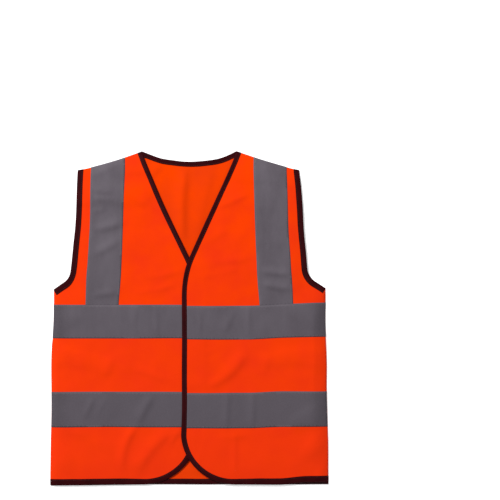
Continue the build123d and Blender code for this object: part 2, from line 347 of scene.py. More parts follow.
def free_front(side):
    """Height map of a front's cloth where nothing lies under it but the back. It sinks towards its hem,
    its armhole and its upper neckline."""
    s = side * MAP_X
    rise = 1.0
    for start, end, reach in ((HEM_END, UNDERARM, SIDE_ROLL), (SHOULDER_TIP, NECK_POINT, SHOULDER_ROLL)):
        d = inward_of(start, end, s, MAP_Y)
        rise = rise * (1 - (1 - np.clip(d / reach, 0, 1)) ** ROUNDNESS)
    neckline = inward_of(NECK_POINT, (-LAP, LAPEL), s, MAP_Y)
    arm = np.hypot(np.clip(ARM_DIP_FROM[0] - s, 0, None), np.clip(ARM_DIP_FROM[1] - MAP_Y, 0, None))
    dip = hump(MAP_Y, 0, HEM_DIP) + hump(arm, 0, ARM_DIP)
    dip = dip + hump(neckline, 0, NECK_DIP) * smooth(MAP_Y, 380, 440)
    rough = waves(side, MAP_X, MAP_Y, RIPPLES) + creases(side, MAP_X, MAP_Y) + SETTLED[side]
    calm = 1 - CALM * hump(fold_distance(side, MAP_X, MAP_Y), 0, CALM_REACH)
    z = FRONT_HEIGHT[side] - EDGE_DIP * np.clip(dip, 0, 1) + rough * calm
    return SEAM_HEIGHT + (np.maximum(z, LEAST_HEIGHT) - SEAM_HEIGHT) * rise


def height_maps():
    """Heights of the cloth's middle. The left front rests on the right one and on the closure strips."""
    right, left = free_front(RIGHT), free_front(LEFT)
    foot, top = (CLOSURE_FOOT - 13, CLOSURE_FOOT + 2), (CLOSURE_TOP + 13, CLOSURE_TOP - 1)
    strips = smooth(MAP_Y, *foot) * smooth(MAP_Y, *top) * smooth(MAP_X, 34, 16)
    gap = right + STACK + CLOTH + strips - left
    over = smooth(MAP_X, 95, 15) * smooth(MAP_Y, 372, 342)
    left = left + over * 0.5 * (gap + np.sqrt(gap * gap + SOFTNESS))
    back = BACK_HEIGHT + BACK_WAVE * (1 + noise(MAP_X, MAP_Y, 60, 5)) + creases("back", MAP_X, MAP_Y)
    return {LEFT: left, RIGHT: right, "back": back}


def place(layer, x, y, offset):
    """Points in the row frame, in metres, at an offset from a layer's middle along its normal."""
    x, y = np.asarray(x, float), np.asarray(y, float)
    z, slope_x, slope_y = (sampled(field, x, y) for field in MAPS[layer])
    size = np.sqrt(1 + slope_x**2 + slope_y**2)
    wx, wy = warp(layer, x, y)
    px = wx - offset * slope_x / size
    py = wy - offset * slope_y / size
    pz = z + offset / size
    return np.stack([px * MM, HEM + py * MM, pz * MM], axis=-1)


# ---- lines of the pattern ----


def rounded(points, radii, step=2.0):
    """Points along a line through corners that are rounded."""
    pts = [np.array(p, float) for p in points]
    out = [pts[0]]
    for i, radius in enumerate(radii, start=1):
        a, b = unit(pts[i - 1] - pts[i]), unit(pts[i + 1] - pts[i])
        half = math.acos(np.clip(np.dot(a, b), -1, 1)) / 2
        centre = pts[i] + unit(a + b) * radius / math.sin(half)
        start = pts[i] + a * radius / math.tan(half) - centre
        end = pts[i] + b * radius / math.tan(half) - centre
        turn = math.pi - 2 * half
        count = max(3, int(radius * turn / step))
        for k in range(count + 1):
            t = k / count
            arc = (math.sin((1 - t) * turn) * start + math.sin(t * turn) * end) / math.sin(turn)
            out.append(centre + arc)
    out.append(pts[-1])
    return spaced(np.array(out), step)


def run_of(line):
    """How far along a line each of its points is."""
    return np.concatenate([[0], np.cumsum(np.hypot(*np.diff(line, axis=0).T))])


def spaced(line, step):
    """The same line with evenly spaced points."""
    run = run_of(line)
    at = np.linspace(0, run[-1], max(2, int(round(run[-1] / step)) + 1))
    return np.stack([np.interp(at, run, line[:, 0]), np.interp(at, run, line[:, 1])], axis=1)


def mirrored(line, side):
    return np.asarray(line, float) * (side, 1)


def front_edge(side, step=2.0):
    line = rounded([NECK_POINT, (-LAP, LAPEL), (-LAP, 0), HEM_END], [LAPEL_RADIUS, FRONT_CORNER_RADIUS], step)
    return mirrored(line, side)


def armhole(side, step=2.0):
    return mirrored(rounded([UNDERARM, ARMPIT, SHOULDER_TIP], [ARMPIT_RADIUS], step), side)


def back_neck(step=2.0):
    half, depth = NECK_POINT[0], NECK_POINT[1] - BACK_NECK
    radius = (half**2 + depth**2) / (2 * depth)
    reach = math.asin(half / radius)
    angle = np.linspace(reach, -reach, int(2 * reach * radius / step))
    return np.stack([radius * np.sin(angle), BACK_NECK + radius - radius * np.cos(angle)], axis=1)


def back_hem(step=2.0):
    return straight((-HEM_END[0], 0), HEM_END, step)


def straight(a, b, step=3.0):
    return spaced(np.array([a, b], float), step)


def inward_normals(line, hand):
    """Unit normals on one hand of a line: 1 is its left."""
    d = np.gradient(line, axis=0)
    d = d / np.linalg.norm(d, axis=1, keepdims=True)
    return hand * np.stack([-d[:, 1], d[:, 0]], axis=1)


def inset(line, hand, by):
    return line + by * inward_normals(line, hand)


def loop(*lines, step=3.0):
    """One closed outline from lines that follow each other."""
    return np.concatenate([np.concatenate([line, straight(line[-1], after[0], step)[1:-1]])
                           for line, after in zip(lines, lines[1:] + lines[:1])])


def fold_frame(side):
    """A point on a front's fold line in plan, the line's direction, and the way to the flap."""
    joint = next(j for j in frame["record"]["behaviour"]["joints"] if j["name"] == FOLD[side])
    point = np.array([joint["pos_m"][0], joint["pos_m"][1] - HEM]) / MM
    line = unit(np.array(joint["axis"][:2]))
    across = np.array([line[1], -line[0]])
    if across[0] * side > 0:
        across = -across
    return point, line, across, joint["pos_m"][2]


# ---- mesh building ----


def new_object(name, verts, faces, plan=None):
    mesh = bpy.data.meshes.new(name)
    mesh.from_pydata([tuple(v) for v in verts], [], [tuple(int(i) for i in f) for f in faces])
    mesh.validate()
    if plan is not None:
        attribute = mesh.attributes.new("plan", "FLOAT_VECTOR", "POINT")
        attribute.data.foreach_set("vector", np.asarray(plan, np.float32).ravel())
    mesh.polygons.foreach_set("use_smooth", np.ones(len(mesh.polygons), bool))
    mesh.update()
    obj = bpy.data.objects.new(name, mesh)
    bpy.context.scene.collection.objects.link(obj)
    return obj


def rectangle(name, x, y_low, y_high):
    """A level face at height 0, from -x to x."""
    return new_object(name, [(-x, y_low, 0), (x, y_low, 0), (x, y_high, 0), (-x, y_high, 0)], [(0, 1, 2, 3)])


def inside(outline, points):
    """Which points lie within an outline, by counting the edges to their right."""
    x, y = points[:, 0], points[:, 1]
    hit = np.zeros(len(points), bool)
    for (x0, y0), (x1, y1) in zip(outline, np.roll(outline, -1, axis=0)):
        crosses = (y0 > y) != (y1 > y)
        with np.errstate(divide="ignore", invalid="ignore"):
            at = x0 + (y - y0) * (x1 - x0) / (y1 - y0)
        hit ^= crosses & (x < at)
    return hit


def clear_of(outline, points, gap):
    """Which points are further than a gap from an outline, worked out in batches."""
    keep = np.ones(len(points), bool)
    batch = 4000
    for start in range(0, len(points), batch):
        part = points[start:start + batch]
        d = np.hypot(part[:, None, 0] - outline[None, :, 0], part[:, None, 1] - outline[None, :, 1])
        keep[start:start + batch] = d.min(axis=1) > gap
    return keep


EQUAL_SIDED = 1.1547  # the height of rows against the width of columns


def lattice(outline, spacing, origin=(0, 0), along=(0, 1)):
    """A triangular grid of points over an outline's box, with rows along a direction."""
    along = np.array(along, float)
    across = np.array([along[1], -along[0]])
    corners = np.array([outline.min(0), outline.max(0), (outline[:, 0].min(), outline[:, 1].max()),
                        (outline[:, 0].max(), outline[:, 1].min())]) - origin
    u, v = corners @ across, corners @ along
    columns = np.arange(math.floor(u.min() / spacing), math.ceil(u.max() / spacing) + 1)
    rise = spacing * EQUAL_SIDED
    rows = np.arange(math.floor(v.min() / rise), math.ceil(v.max() / rise) + 1)
    gu, gv = np.meshgrid(columns, rows)
    gv = gv + 0.5 * (gu % 2)
    points = gu.ravel()[:, None] * spacing * across + gv.ravel()[:, None] * rise * along + origin
    return points[inside(outline, points)]


def filled(outline, side=None, spacing=COARSE):
    """Triangles over an outline, with finer points along a front's fold line."""
    coarse = lattice(outline, spacing)
    sets = [(coarse, spacing)]
    if side in (LEFT, RIGHT):
        origin, along, _, _ = fold_frame(side)
        coarse = coarse[fold_distance(side, *coarse.T) > FINE_REACH + spacing / 2]
        fine = lattice(outline, FINE, origin, along)
        fine = fine[fold_distance(side, *fine.T) <= FINE_REACH]
        sets = [(fine, FINE), (coarse, spacing)]
    kept = [points[clear_of(outline, points, RIM_GAP * step)] for points, step in sets]
    points = np.concatenate([outline] + kept)
    n = len(outline)
    edge = [(i, (i + 1) % n) for i in range(n)]
    coords = [Vector((float(x), float(y))) for x, y in points]
    verts, _, faces, *_ = geometry.delaunay_2d_cdt(coords, edge, [list(range(n))], 1, 1e-5)
    return np.array([tuple(v) for v in verts]), [tuple(f) for f in faces]


def sheet_object(name, layer, outline, low, high, spacing=COARSE):
    """A closed sheet over an outline, between two offsets from a layer's middle."""
    points, faces = filled(outline, layer, spacing)
    x, y = points[:, 0], points[:, 1]
    top, bottom = place(layer, x, y, high), place(layer, x, y, low)
    n = len(points)
    area = [(points[b][0] - points[a][0]) * (points[c][1] - points[a][1])
            - (points[c][0] - points[a][0]) * (points[b][1] - points[a][1]) for a, b, c in faces]
    faces = [f if s > 0 else f[::-1] for f, s in zip(faces, area)]
    used = {(f[i], f[(i + 1) % 3]): True for f in faces for i in range(3)}
    faces += [(c + n, b + n, a + n) for a, b, c in faces]
    faces += [(b, a, a + n, b + n) for a, b in used if (b, a) not in used]
    plan = np.stack([x * MM, y * MM, np.zeros(n)], axis=1)
    plans = np.concatenate([plan, plan + (0, 0, MM)])
    return new_object(name, np.concatenate([top, bottom]), faces, plans)


# ---- how the fronts settle ----

SIM_SCALE = 0.01  # simulation units to a millimetre: ten times life size, for fine margins
SIM_CELL = 8.0
SIM_FRAMES = 28
SIM_DROP, SIM_WAVES = 5, ((1.6, 70, 81), (0.8, 36, 83))
SIM_CAP, SIM_SHARE = 1.6, 0.7  # the greatest height that is kept, and how much of it
SEAM_GRIP = 2.0
BLURS = 6
SIM_CLOTH = {"vertex_group_mass": "seams", "quality": 6, "mass": 0.3, "tension_stiffness": 25,
             "compression_stiffness": 25, "shear_stiffness": 10, "bending_stiffness": 6, "shrink_min": -0.012}


def settle(side):
    """Height map, in millimetres about its middle, of a front that falls a few millimetres on the back."""
    outline = loop(spaced(front_edge(side), SIM_CELL), spaced(armhole(side), SIM_CELL), step=SIM_CELL)
    points, faces = filled(outline, None, SIM_CELL)
    x, y = points.T
    start = waves(side, x, y, SIM_WAVES, SIM_DROP) + creases(side, x, y)
    obj = new_object("settling", np.stack([x, y, start], axis=1) * SIM_SCALE, faces)
    seams = [inward_of(a, b, side * x, y) for a, b in ((HEM_END, UNDERARM), (SHOULDER_TIP, NECK_POINT))]
    held = np.nonzero(np.minimum(*seams) < SEAM_GRIP)[0]
    obj.vertex_groups.new(name="seams").add([int(i) for i in held], 1.0, "REPLACE")
    cloth = obj.modifiers.new("cloth", "CLOTH")
    for key, value in SIM_CLOTH.items():
        setattr(cloth.settings, key, value)
    cloth.collision_settings.distance_min = 0.015
    cloth.point_cache.frame_start = 1
    cloth.point_cache.frame_end = SIM_FRAMES
    table = rectangle("settling_on", 4, -2, 7)
    table.modifiers.new("collision", "COLLISION")
    table.collision.thickness_outer = 0.01
    for step in range(1, SIM_FRAMES + 1):
        bpy.context.scene.frame_set(step)
    settled = obj.evaluated_get(bpy.context.evaluated_depsgraph_get())
    mesh = settled.to_mesh()
    fallen = np.array([tuple(v.co) for v in mesh.vertices]) / SIM_SCALE
    settled.to_mesh_clear()
    bpy.context.scene.frame_set(1)
    for o in (obj, table):
        bpy.data.objects.remove(o)
    return spread(fallen, points, faces)


def spread(fallen, points, faces):
    """Heights at a mesh's points as a map over the whole plan, softened and capped."""
    tree = BVHTree.FromPolygons([Vector((x, y, 0)) for x, y in points], faces)
    field, known = np.zeros(MAP_X.shape), np.zeros(MAP_X.shape)
    for at in np.ndindex(MAP_X.shape):
        hit, _, face, _ = tree.ray_cast(Vector((MAP_X[at], MAP_Y[at], 1)), Vector((0, 0, -1)), 2)
        if hit is None:
            continue
        a, b, c = faces[face]
        (ax, ay), (bx, by), (cx, cy) = points[a], points[b], points[c]
        twice = (bx - ax) * (cy - ay) - (cx - ax) * (by - ay)
        v = ((hit.x - ax) * (cy - ay) - (cx - ax) * (hit.y - ay)) / twice
        w = ((bx - ax) * (hit.y - ay) - (hit.x - ax) * (by - ay)) / twice
        field[at] = (1 - v - w) * fallen[a, 2] + v * fallen[b, 2] + w * fallen[c, 2]
        known[at] = 1
    middle = field[known > 0].mean()
    field = np.where(known > 0, field - middle, 0)
    for _ in range(BLURS):
        field, known = blurred(field), blurred(known)
    field = field / np.maximum(known, 0.02)
    return SIM_SHARE * SIM_CAP * np.tanh(field / SIM_CAP)


def blurred(a):
    for axis in (0, 1):
        a = (np.roll(a, 1, axis) + 2 * a + np.roll(a, -1, axis)) / 4
    return a


SETTLED = {side: settle(side) for side in (LEFT, RIGHT)}
MAPS = {layer: (z, *np.gradient(z, CELL)) for layer, z in height_maps().items()}


# ---- bindings and stitches as shapes ----

# across the binding from its inner edge over the top, round the fold and back underneath
BINDING_TOP = [(8.0, 0.66), (7.6, 0.78), (6.9, 0.76), (6.3, 0.70), (5.6, 0.76), (4.0, 0.84), (2.2, 0.84),
               (0.9, 0.74), (0.25, 0.46)]
LINING = 0.28
BINDING_LINING = [(8.0, -LINING), (1.1, -LINING), (1.1, LINING), (8.0, LINING)]
PROFILE = BINDING_TOP + [(0.0, 0.0)] + [(u, -v) for u, v in reversed(BINDING_TOP)] + BINDING_LINING
SLANT_REACH = 12.0  # how far from its ends a binding slants
UNEVEN, PUCKER, LUMPS = 0.22, 0.05, 0.08
FLAT = 0.3  # offsets up to this don't pucker
PITCH, STITCH_LENGTH, STITCH_WIDTH, STITCH_RISE, STITCH_SINK = 3.2, 2.5, 0.38, 0.18, 0.08
STITCH_RINGS = [(-0.5, 0.05, 0.3), (-0.38, 0.8, 0.8), (0.0, 1.0, 1.0), (0.38, 0.8, 0.8), (0.5, 0.05, 0.3)]
STITCH_ARCH = [(-0.5, 0.0), (-0.3, 0.8), (0.3, 0.8), (0.5, 0.0)]


def ribbon(layer, line, hand, profile, slant=(0, 0), seed=0, wide=1.0):
    """Vertices and faces of a closed strip whose profile follows a line, as (inward, offset) points."""
    normals = inward_normals(line, hand)
    tangents = np.gradient(line, axis=0)
    tangents = tangents / np.linalg.norm(tangents, axis=1, keepdims=True)
    run = run_of(line)
    ends = np.clip(1 - run / SLANT_REACH, 0, 1), np.clip(1 - (run[-1] - run) / SLANT_REACH, 0, 1)
    lean = slant[0] * ends[0] + slant[1] * ends[1]
    uneven = UNEVEN * noise(run, run * 0 + 3 * seed, 30, 60 + seed)
    pucker = 1 + PUCKER * np.sin(run * 2 * math.pi / PITCH) + LUMPS * noise(run, run * 0, 9, 70 + seed)
    verts, plan = [], []
    for u, v in profile:
        at = u * wide + uneven * smooth(u, 4, BINDING_WIDTH)
        q = line + at[:, None] * normals + (lean * u)[:, None] * tangents
        verts.append(place(layer, q[:, 0], q[:, 1], v * pucker if abs(v) > FLAT else np.full(len(q), v)))
        plan.append(np.stack([run * MM, at * MM, np.full(len(q), v * MM)], axis=1))
    count, m = len(profile), len(line)
    verts, plan = np.concatenate(verts), np.concatenate(plan)
    faces = []
    for k in range(count):
        a, b = k * m, ((k + 1) % count) * m
        faces += [(a + i, a + i + 1, b + i + 1, b + i) for i in range(m - 1)]
    faces += [tuple(k * m for k in range(count)), tuple(k * m + m - 1 for k in reversed(range(count)))]
    if hand < 0:
        faces = [f[::-1] for f in faces]
    return verts, faces, plan


def front_binding_width(side, line):
    """How wide a front's binding comes out along its edge, against its cut width."""
    x, y = side * line[:, 0], line[:, 1]
    return 0.93 + 0.11 * smooth(LAPEL - y, 0, 60) + 0.22 * smooth(x, 40, 120) * smooth(40 - y, 0, 30)


def joined(name, parts):
    """One object from several (verts, faces, plan)."""
    faces, base = [], 0
    for verts, part_faces, _ in parts:
        faces += [tuple(i + base for i in face) for face in part_faces]
        base += len(verts)
    verts, _, plans = zip(*parts)
    return new_object(name, np.concatenate(verts), faces, np.concatenate(plans))


def stitches(layer, line, offset):
    """Vertices and faces of a row of stitches along a line, each a small bar with rounded ends."""
    run = run_of(line)
    count = int(run[-1] / PITCH)
    start = (np.arange(count) + 0.5) * run[-1] / count
    verts, plan = [], []
    for t, wide, tall in STITCH_RINGS:
        s = start + t * STITCH_LENGTH
        x, y = np.interp(s, run, line[:, 0]), np.interp(s, run, line[:, 1])
        ahead = np.stack([np.interp(s + 0.5, run, line[:, k]) - np.interp(s - 0.5, run, line[:, k])
                          for k in (0, 1)], axis=1)
        ahead = ahead / np.maximum(np.linalg.norm(ahead, axis=1, keepdims=True), 1e-9)
        side = np.stack([-ahead[:, 1], ahead[:, 0]], axis=1)
        for across, up in STITCH_ARCH:
            q = np.stack([x, y], axis=1) + across * STITCH_WIDTH * wide * side
            up_by = np.sign(offset) * (STITCH_RISE * tall * up - STITCH_SINK)
            verts.append(place(layer, q[:, 0], q[:, 1], offset + up_by))
            plan.append(np.stack([s * MM, np.full(count, across * MM), np.zeros(count)], axis=1))
    verts, plan = np.stack(verts, axis=1).reshape(-1, 3), np.stack(plan, axis=1).reshape(-1, 3)
    faces = []
    n, last = len(STITCH_ARCH), len(STITCH_RINGS) - 1
    for base in range(0, len(verts), n * (last + 1)):
        for r in range(base, base + n * last, n):
            faces += [(r + c, r + (c + 1) % n, r + n + (c + 1) % n, r + n + c) for c in range(n)]
        faces += [tuple(base + c for c in reversed(range(n))), tuple(base + n * last + c for c in range(n))]
    if offset > 0:
        faces = [f[::-1] for f in faces]
    return verts, faces, plan


# ---- materials ----


class Nodes:
    """Short names for making a node material."""

    def __init__(self, name):
        self.material = bpy.data.materials.new(name)
        self.material.use_nodes = True
        self.tree = self.material.node_tree
        self.shader = self.tree.nodes["Principled BSDF"]
        self.plan = self.make("ShaderNodeAttribute", {}, attribute_name="plan").outputs["Vector"]

    def make(self, kind, inputs, **settings):
        node = self.tree.nodes.new(kind)
        for key, value in settings.items():
            setattr(node, key, value)
        for key, value in inputs.items():
            self.put(node.inputs[key], value)
        return node

    def put(self, socket, value):
        if isinstance(value, bpy.types.NodeSocket):
            self.tree.links.new(value, socket)
        else:
            socket.default_value = value

    def math(self, operation, a, b, clamp=False):
        return self.make("ShaderNodeMath", {0: a, 1: b}, operation=operation, use_clamp=clamp).outputs[0]

    def times(self, a, b, clamp=False):
        return self.math("MULTIPLY", a, b, clamp)

    def plus(self, a, b):
        return self.math("ADD", a, b)

    def component(self, index):
        return self.make("ShaderNodeSeparateXYZ", {0: self.plan}).outputs[index]

    def noise(self, scale, detail=2.0, rough=0.5, stretch=(1, 1, 1)):
        mapping = self.make("ShaderNodeMapping", {"Vector": self.plan, "Scale": stretch})
        inputs = {"Vector": mapping.outputs[0], "Scale": scale, "Detail": detail, "Roughness": rough}
        return self.make("ShaderNodeTexNoise", inputs).outputs["Fac"]

    def voronoi(self, scale):
        """Distance from the nearest of many scattered points."""
        return self.make("ShaderNodeTexVoronoi", {"Vector": self.plan, "Scale": scale}).outputs["Distance"]

    def wave(self, direction, period, distortion=0.0):
        """Bands across X or Y of the plan with a period in millimetres."""
        scale = 1 / (20 * period * MM) * 2 * math.pi
        inputs = {"Vector": self.plan, "Scale": scale, "Distortion": distortion}
        return self.make("ShaderNodeTexWave", inputs, bands_direction=direction).outputs["Fac"]

    def mix(self, fac, a, b):
        return self.make("ShaderNodeMix", {"Factor": fac, 6: a, 7: b}, data_type="RGBA").outputs[2]

    def ramp(self, value, low, high):
        """The share of the way from low to high."""
        return self.make("ShaderNodeMapRange", {"Value": value, "From Min": low, "From Max": high}).outputs[0]

    def bump(self, height, distance, strength):
        node = self.make("ShaderNodeBump", {"Strength": strength, "Distance": distance, "Height": height})
        self.put(self.shader.inputs["Normal"], node.outputs[0])

    def finish(self, base, roughness, sheen=0.0, specular=0.3, tint=(1, 1, 1, 1)):
        values = {"Base Color": base, "Roughness": roughness, "Sheen Tint": tint, "Sheen Weight": sheen,
                  "Specular Tint": tint, "Specular IOR Level": specular}
        for socket, value in values.items():
            self.put(self.shader.inputs[socket], value)
        return self.material


def colour(r, g, b):
    """A linear colour from 8-bit values."""
    def linear(c):
        c /= 255
        return c / 12.92 if c <= 0.04045 else ((c + 0.055) / 1.055) ** 2.4
    return (linear(r), linear(g), linear(b), 1.0)


def toned(tone, share, more=0.0):
    """A lighter or darker version of a colour."""
    return tuple(min(1, share * c + more) for c in tone[:3]) + (1.0,)


def knit(name, main, deep, lined=None):
    """Fluorescent warp-knit cloth: fine wales and courses, with soft patches of deeper colour. Given the
    plan z of its inner face, it deepens towards the hem, and the bands outside show on that face as painted
    shade."""
    n = Nodes(name)
    weave = n.times(n.wave("X", period=1.3), n.wave("Y", period=1.0))
    fibres = n.noise(scale=2600, detail=3, rough=0.6, stretch=(1, 0.35, 1))
    patches = n.ramp(n.noise(scale=16, detail=3, rough=0.55), low=0.35, high=0.7)
    tone = n.mix(patches, main, deep)
    if lined is not None:
        y, face = n.component(1), n.math("COMPARE", n.component(2), lined)
        tone = n.mix(n.ramp(y, low=0.5, high=-0.12), tone, deep)
        face.node.inputs[2].default_value = 0.4 * MM
        for foot in BANDS.values():
            low, high = foot * MM, (foot + TAPE_WIDTH) * MM
            over = n.times(n.ramp(y, low - MM, low + MM), n.ramp(y, high + MM, high - MM))
            # painted shade: the cloth over each band on the far face darkens, as the band's shadow seen
            # through the thin knit
            painted_tape_shade = (0.85 * main[0], 0.80 * main[1], main[2] + 0.002, 1.0)
            tone = n.mix(n.times(over, face), tone, painted_tape_shade)
    relief = n.plus(weave, fibres)
    shade = n.times(relief, 0.10)
    n.bump(relief, distance=0.00012, strength=0.5)
    return n.finish(n.mix(shade, tone, toned(main, 0.72)), n.ramp(fibres, low=-0.6, high=1.5),
                    sheen=0.12, specular=0.07, tint=(1, 0.16, 0.02, 1))


def reflective(name, main, deep):
    """Retroreflective tape: tiny glass beads on grey cloth, with rubbed patches. Painted shade deepens it
    towards the hem and darkens its ends, by the side seams.
    """
    n = Nodes(name)
    beads = n.voronoi(scale=2200)
    grain = n.noise(scale=900, detail=3, rough=0.6)
    patches = n.ramp(n.noise(scale=28, detail=4, rough=0.6, stretch=(1, 0.4, 1)), low=0.3, high=0.75)
    tone = n.mix(patches, main, deep)
    # painted shade: the tape deepens towards the hem, for the light its beads send back less strongly there
    tone = n.mix(n.ramp(n.component(1), low=0.38, high=0.08), tone, deep)
    # painted shade at the ends of each band, by the side seams, where the cloth rolls away from the light
    for end, end_shade in ((-1, 0.62), (1, 0.74)):
        tone = n.mix(n.ramp(n.component(0), end * 0.184, end * 0.202), tone, toned(deep, end_shade))
    speck = n.times(n.plus(beads, grain), 0.35)
    threads = n.times(n.wave("X", period=0.8), n.wave("Y", period=0.8))
    n.bump(n.plus(n.times(threads, 0.7), beads), distance=0.00008, strength=0.5)
    return n.finish(n.mix(speck, tone, toned(main, 1.5)), n.ramp(grain, low=-0.6, high=1.3), specular=0.1)


def bound(name, main, deep):
    """Woven binding: fine ribs across its length, with soft patches of deeper colour."""
    n = Nodes(name)
    ribs = n.wave("X", period=0.7)
    fuzz = n.noise(scale=1800, detail=3, rough=0.6)
    tone = n.mix(n.ramp(n.noise(scale=40, detail=3), low=0.35, high=0.7), main, deep)
    shade = n.times(n.times(ribs, fuzz), 0.5)
    n.bump(n.plus(ribs, n.times(fuzz, 0.6)), distance=0.00015, strength=0.6)
    return n.finish(n.mix(shade, tone, toned(main, 2.2, 0.001)), n.ramp(fuzz, low=-0.6, high=1.5),
                    sheen=0.03, specular=0.08, tint=(1, 0.45, 0.5, 1))


def pile(name, main, deep, scale):
    """Hook or loop tape: a fuzzy or bristly field."""
    n = Nodes(name)
    fuzz = n.noise(scale=scale, detail=4, rough=0.7)
    tufts = n.voronoi(scale=scale / 2)
    base = n.mix(n.times(tufts, fuzz, clamp=True), main, deep)
    n.bump(n.plus(fuzz, tufts), distance=0.0003, strength=0.7)
    return n.finish(base, 0.85, sheen=0.2, specular=0.15, tint=(1, 0.5, 0.2, 1))


def twisted(name, main, deep):
    """Polyester thread: two plies twisted together."""
    n = Nodes(name)
    ply = n.wave("X", period=0.6, distortion=0.5)
    fuzz = n.noise(scale=3000)
    n.bump(ply, distance=0.0001, strength=0.5)
    return n.finish(n.mix(n.times(ply, fuzz), main, deep), 0.55, sheen=0.1, specular=0.4)


ORANGE = knit("orange_knit", colour(241, 61, 2), colour(230, 50, 15), MM)
ORANGE_BACK = knit("orange_knit_back", colour(236, 61, 2), colour(230, 55, 3))
BACK_KNIT = knit("orange_knit_lined", colour(238, 63, 0), colour(224, 58, 10), 0.0)
GREY = reflective("reflective_tape", colour(90, 84, 91), colour(64, 58, 64))
DARK = bound("dark_binding", colour(44, 4, 7), colour(30, 2, 4))
HOOK = pile("hook_tape", colour(222, 106, 36), colour(196, 82, 22), 1400)
LOOP = pile("loop_tape", colour(232, 124, 52), colour(208, 96, 30), 900)
GREY_THREAD = twisted("grey_thread", colour(118, 111, 118), colour(96, 90, 96))
DARK_THREAD = twisted("dark_thread", colour(50, 13, 17), colour(26, 5, 8))
ORANGE_THREAD = twisted("orange_thread", colour(226, 74, 22), colour(196, 56, 16))


# ---- placing pieces ----


def dress(obj, material, slot, *stands_for):
    """Gives a piece its material and hides the CAD nodes that it stands for; slot is not used."""
    obj.data.materials.append(material)
    if stands_for:
        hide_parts(*stands_for)
    return obj


def bend(obj):
    """A front's piece that crosses its fold line gets its transform baked into its mesh."""
    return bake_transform(obj)


# ---- cloth ----

EDGE = 1.15  # the cloth stops this far inside the outer face of its binding
HALF = CLOTH / 2

rims = [inset(line, 1, EDGE) for line in (back_hem(), armhole(LEFT), back_neck(), armhole(RIGHT)[::-1])]
back_cloth = sheet_object("back_cloth", "back", loop(*rims), -HALF, HALF)
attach(dress(back_cloth, BACK_KNIT, "knit_cloth", "back_panel"), BODY)

for side in (LEFT, RIGHT):
    name = f"{NAME[side]}_front"
    rims = [inset(line, side, EDGE) for line in (front_edge(side), armhole(side))]
    cloth = sheet_object(f"{name}_cloth", side, loop(*rims), -HALF, HALF)
    bend(dress(cloth, ORANGE, "knit_cloth", f"{name}_side", f"{name}_flap"))

# ---- reflective tape ----

GAP = 0.03  # between pieces that lie on each other
TAPE_UNDER = HALF + GAP
TAPE_OVER = TAPE_UNDER + TAPE
BRACE_OVER = TAPE_OVER - 0.05  # a brace's foot is tucked under the band
TUCK = 1.5
SEAM_GAP = 0.3
INNER = -LAP + BINDING_WIDTH - 1.0  # bands start under the edge binding


def side_x(y):
    """How far across the side seam is at a height."""
    return HEM_END[0] + (UNDERARM[0] - HEM_END[0]) * y / UNDERARM[1]


def shoulder_y(x):
    t = (x - NECK_POINT[0]) / (SHOULDER_TIP[0] - NECK_POINT[0])
    return NECK_POINT[1] + t * (SHOULDER_TIP[1] - NECK_POINT[1])


def ring(corners, step=COARSE):
    return loop(*[straight(a, b, step)[:-1] for a, b in zip(corners, corners[1:] + corners[:1])])


def band_corners(foot, inner):
    top = foot + TAPE_WIDTH
    return [(inner, foot), (side_x(foot) - SEAM_GAP, foot), (side_x(top) - SEAM_GAP, top), (inner, top)]


def brace_line(shift, tuck=0.0):
    """A line along a brace, shifted across from its middle: foot and shoulder."""
    foot = (BRACE_FOOT[0] + shift, BRACE_FOOT[1] - tuck)
    slope = (BRACE_TOP[0] - BRACE_FOOT[0]) / (BRACE_TOP[1] - BRACE_FOOT[1])
    y = shoulder_y(BRACE_TOP[0] + shift)
    return foot, (BRACE_TOP[0] + shift + slope * (y - BRACE_TOP[1]), y - SEAM_GAP)


def brace_corners():
    (a, b), (c, d) = brace_line(-TAPE_WIDTH / 2, TUCK), brace_line(TAPE_WIDTH / 2, TUCK)
    return [a, c, d, b]


def flipped(corners, side):
    """The same corners on one side, still in the same turning sense."""
    placed = [(side * x, y) for x, y in corners]
    return placed if side == LEFT else placed[::-1]


def tape(name, layer, corners, low, high, *stands_for):
    return dress(sheet_object(name, layer, ring(corners), low, high), GREY, "reflective_tape", *stands_for)


front_tapes = {LEFT: [], RIGHT: []}
for side in (LEFT, RIGHT):
    name = NAME[side]
    for band, foot in BANDS.items():
        corners = flipped(band_corners(foot, INNER), side)
        strip = tape(f"{name}_{band}_tape", side, corners, TAPE_UNDER, TAPE_OVER,
                     f"{name}_{band}_band_side", f"{name}_{band}_band_flap")
        front_tapes[side].append(bend(strip))
    strip = tape(f"{name}_brace_tape", side, flipped(brace_corners(), side), TAPE_UNDER, BRACE_OVER,
                 f"{name}_front_brace")
    front_tapes[side].append(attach(strip, BODY))

for band, foot in BANDS.items():
    _, low, high, _ = band_corners(foot, 0)
    corners = [(-low[0], low[1]), low, high, (-high[0], high[1])]
    strip = tape(f"back_{band}_tape", "back", corners, -TAPE_OVER, -TAPE_UNDER, f"back_{band}_band")
    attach(strip, BODY)
for side in (LEFT, RIGHT):
    name = f"{NAME[side]}_back_brace"
    strip = tape(f"{name}_tape", "back", flipped(brace_corners(), side), -BRACE_OVER, -TAPE_UNDER, name)
    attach(strip, BODY)

# ---- bindings ----

EDGE_STEP = 1.5
SHOULDER_SLANT, ARM_SLANT = (-0.12, 0), (0, 0.38)
ARM_WIDE, HEM_WIDE = 1.13, 1.12


def binding(name, parts, *stands_for):
    return dress(joined(name, parts), DARK, "binding", *stands_for)


for side in (LEFT, RIGHT):
    name, line = NAME[side], front_edge(side, EDGE_STEP)
    part = ribbon(side, line, side, PROFILE, SHOULDER_SLANT, 1 + side, front_binding_width(side, line))
    edge = binding(f"{name}_front_binding", [part], f"{name}_edge_binding", f"{name}_hem_binding_side")
    bend(edge)

